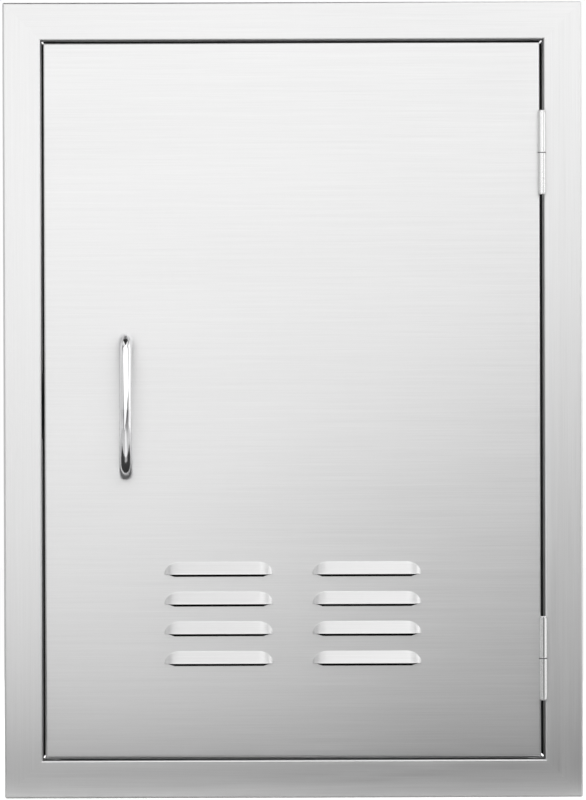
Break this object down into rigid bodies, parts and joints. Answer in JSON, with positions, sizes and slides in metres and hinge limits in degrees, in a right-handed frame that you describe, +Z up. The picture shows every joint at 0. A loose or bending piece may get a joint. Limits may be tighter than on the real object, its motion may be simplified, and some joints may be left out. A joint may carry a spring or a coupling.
{
  "type": "outdoor kitchen access door",
  "caption": "Vented stainless access door for an outdoor kitchen island: mitred flange frame, right-hinged louvred door, bow handle, barrel hinges and magnetic catch.",
  "frame": {"origin": "centre of the wall cut-out, on the face of the wall, where the flange's outer lip rests", "axes": "+X to the viewer's right (the hinge side), +Y into the wall, +Z up; the front of the door looks along -Y"},
  "size_m": [0.4064, 0.0742, 0.5588],
  "materials": {
    "frame_steel": "brushed along each member",
    "door_steel": "brushed from side to side",
    "plain_steel": "mill finish",
    "hinge_steel": "fine satin",
    "polished_steel": "polished",
    "fastener_steel": "satin",
    "plated_steel": "zinc plated",
    "catch_plastic": "fine moulded grain",
    "ferrite": "dull pressed ferrite"
  },
  "bodies": {
    "frame": {"frame_left_stile": "frame_steel", "frame_right_stile": "frame_steel", "frame_top_rail": "frame_steel", "frame_bottom_rail": "frame_steel", "hinge_upper_frame_leaf": "hinge_steel", "hinge_lower_frame_leaf": "hinge_steel", "hinge_upper_pin": "hinge_steel", "hinge_lower_pin": "hinge_steel", "hinge_upper_washer": "fastener_steel", "hinge_lower_washer": "fastener_steel", "catch_housing": "catch_plastic", "catch_magnet": "ferrite", "catch_pole_plates": "plated_steel", "catch_screws": "fastener_steel", "catch_nuts": "fastener_steel"},
    "door": {"door_skin": "door_steel", "door_hinge_stiffener": "plain_steel", "handle": "polished_steel", "handle_screws": "fastener_steel", "handle_washers": "fastener_steel", "strike_plate": "plated_steel", "hinge_upper_door_leaf": "hinge_steel", "hinge_lower_door_leaf": "hinge_steel"}
  },
  "joints": [
    {"name": "door_swing", "type": "hinge", "parent": "frame", "child": "door", "pos_m": [0.17505, -0.0091, 0], "axis": [0, 0, 1], "range_deg": [0, 175]}
  ]
}
